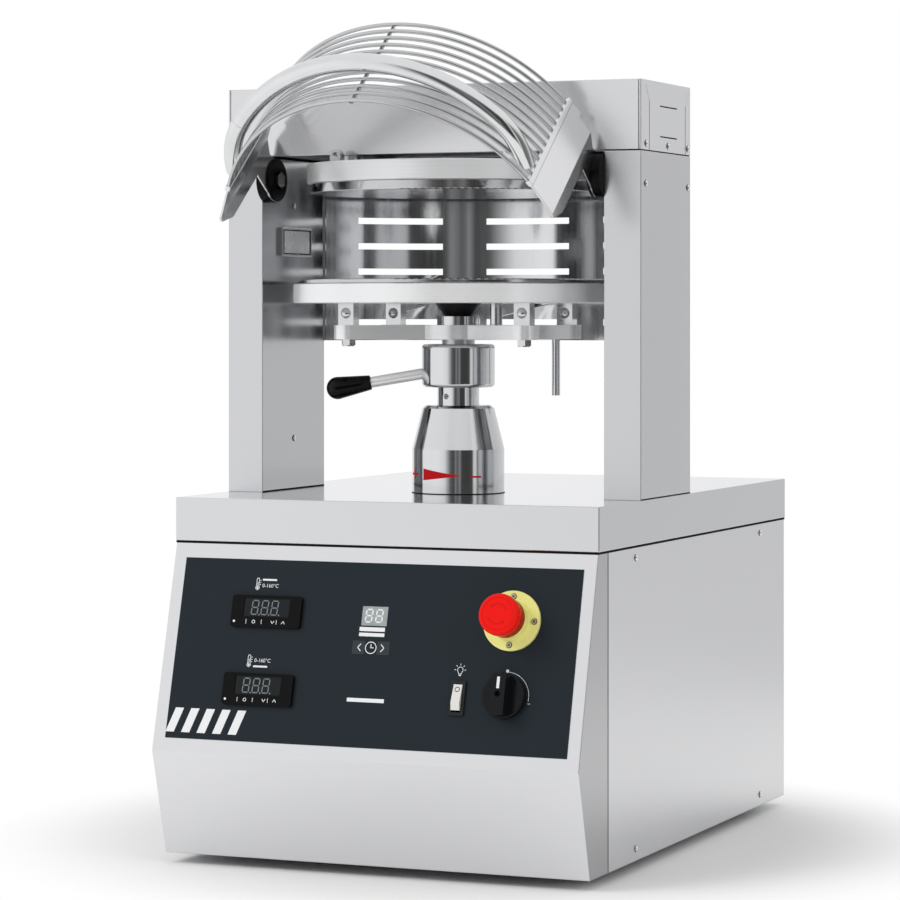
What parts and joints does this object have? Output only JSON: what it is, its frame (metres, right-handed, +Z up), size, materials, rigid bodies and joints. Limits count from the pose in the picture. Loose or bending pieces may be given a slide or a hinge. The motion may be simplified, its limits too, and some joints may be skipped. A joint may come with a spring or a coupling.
{
  "type": "dough press",
  "caption": "Heated dough press on a steel base: cam-lifted lower platen, fixed upper platen between columns, lever height adjuster, swing-up wire guard and sloped control panel.",
  "frame": {"origin": "middle of the whole press's floor plan with its guard open, on the floor under the feet", "axes": "+X to the right seen from the control panel, +Y away from the user, +Z up"},
  "size_m": [0.454, 0.6935, 0.8295],
  "materials": {
    "stainless": "satin",
    "polished_steel": "polished",
    "platen_aluminium": "turned",
    "frame_steel": "plain",
    "motor_paint": "satin",
    "bronze": "turned",
    "heater_sheath": "dull",
    "panel_film": "fine grain",
    "black_plastic": "satin",
    "gloss_black": "gloss",
    "display_grey": "gloss",
    "foot_rubber": "matt",
    "collar_yellow": "satin",
    "cap_red": "satin",
    "ivory": "satin",
    "lamp_glass": "clear"
  },
  "bodies": {
    "base": {"base_frame": "frame_steel", "front_fascia": "stainless", "panel_overlay": "panel_film", "left_side_panel": "stainless", "right_side_panel": "stainless", "rear_panel": "stainless", "top_lid": "stainless", "rubber_feet": "foot_rubber", "left_column": "stainless", "right_column": "stainless", "head_cover": "stainless", "head_beam": "frame_steel", "head_end_caps": "stainless", "back_guard": "polished_steel", "upper_platen": "platen_aluminium", "upper_press_plate": "polished_steel", "upper_heater": "heater_sheath", "upper_platen_mounts": "stainless", "piston_housing": "polished_steel", "guide_bush": "bronze", "gear_motor": "motor_paint", "motor_bracket": "frame_steel", "cam_bearing": "frame_steel", "guard_pivot_bolts": "polished_steel", "guard_friction_discs": "black_plastic", "lamp_housing": "stainless", "lamp_glass": "lamp_glass", "estop_collar": "collar_yellow", "rocker_frame": "black_plastic", "temperature_controllers": "gloss_black", "timer_display": "display_grey", "selector_switch": "black_plastic", "panel_screws": "stainless", "cable_gland": "black_plastic"},
    "lift": {"piston": "polished_steel", "follower_pin": "polished_steel"},
    "roller": {"follower_roller": "polished_steel"},
    "cam": {"lifting_cam": "frame_steel", "cam_shaft": "polished_steel"},
    "adjuster": {"adjuster_drum": "polished_steel", "lever_rod": "polished_steel", "lever_knob": "black_plastic"},
    "platen": {"platen_carrier": "stainless", "carrier_nut": "polished_steel", "insulating_cone": "black_plastic", "carrier_standoffs": "polished_steel", "carrier_bolts": "polished_steel", "lever_stop_rod": "polished_steel", "lower_platen": "platen_aluminium", "lower_press_plate": "polished_steel", "lower_heater": "heater_sheath"},
    "guard": {"guard_cheek_left": "stainless", "guard_cheek_right": "stainless", "guard_bars": "polished_steel", "guard_handle": "polished_steel"},
    "estop_stem": {"estop_stem": "black_plastic"},
    "estop_cap": {"estop_cap": "cap_red"},
    "rocker": {"rocker": "ivory"},
    "selector": {"selector_knob": "black_plastic"}
  },
  "joints": [
    {"name": "platen_lift", "type": "slide", "parent": "base", "child": "lift", "axis": [0, 0, 1], "range_m": [0, 0.086]},
    {"name": "roller_spin", "type": "hinge", "parent": "lift", "child": "roller", "pos_m": [0, -0.07375, 0.197], "axis": [0, 1, 0], "continuous": true},
    {"name": "cam_turn", "type": "hinge", "parent": "base", "child": "cam", "pos_m": [0, -0.07375, 0.145], "axis": [0, 1, 0], "range_deg": [-0.1, 300.1]},
    {"name": "platen_fine", "type": "slide", "parent": "lift", "child": "platen", "axis": [0, 0, 1], "range_m": [-0.00146, 0.00129]},
    {"name": "adjuster_turn", "type": "hinge", "parent": "lift", "child": "adjuster", "pos_m": [0, -0.07375, 0.469], "axis": [0, 0, 1], "range_deg": [-156, 176]},
    {"name": "guard_hinge", "type": "hinge", "parent": "base", "child": "guard", "pos_m": [0, -0.14075, 0.6812], "axis": [1, 0, 0], "range_deg": [0, 51.6]},
    {"name": "estop_push", "type": "slide", "parent": "base", "child": "estop_stem", "axis": [0, 0.9661, -0.2583], "range_m": [0, 0.004], "stiffness_N_per_m": 600, "springref_m": -0.003},
    {"name": "estop_twist", "type": "hinge", "parent": "estop_stem", "child": "estop_cap", "pos_m": [0.14349, -0.31278, 0.2591], "axis": [0, -0.9661, 0.2583], "range_deg": [-35, 0], "stiffness_Nm_per_rad": 0.05, "springref_deg": 5.73},
    {"name": "rocker_tip", "type": "hinge", "parent": "base", "child": "rocker", "pos_m": [0.095, -0.30278, 0.17761], "axis": [1, 0, 0], "range_deg": [0, 16]},
    {"name": "selector_turn", "type": "hinge", "parent": "base", "child": "selector", "pos_m": [0.14349, -0.31222, 0.18376], "axis": [0, -0.9661, 0.2583], "range_deg": [-100, 0]}
  ],
  "couplings": [
    {"joint": "cam_turn", "follows": "platen_lift", "rad_per_m": 60.884},
    {"joint": "adjuster_turn", "follows": "platen_fine", "rad_per_m": -2094.4}
  ]
}
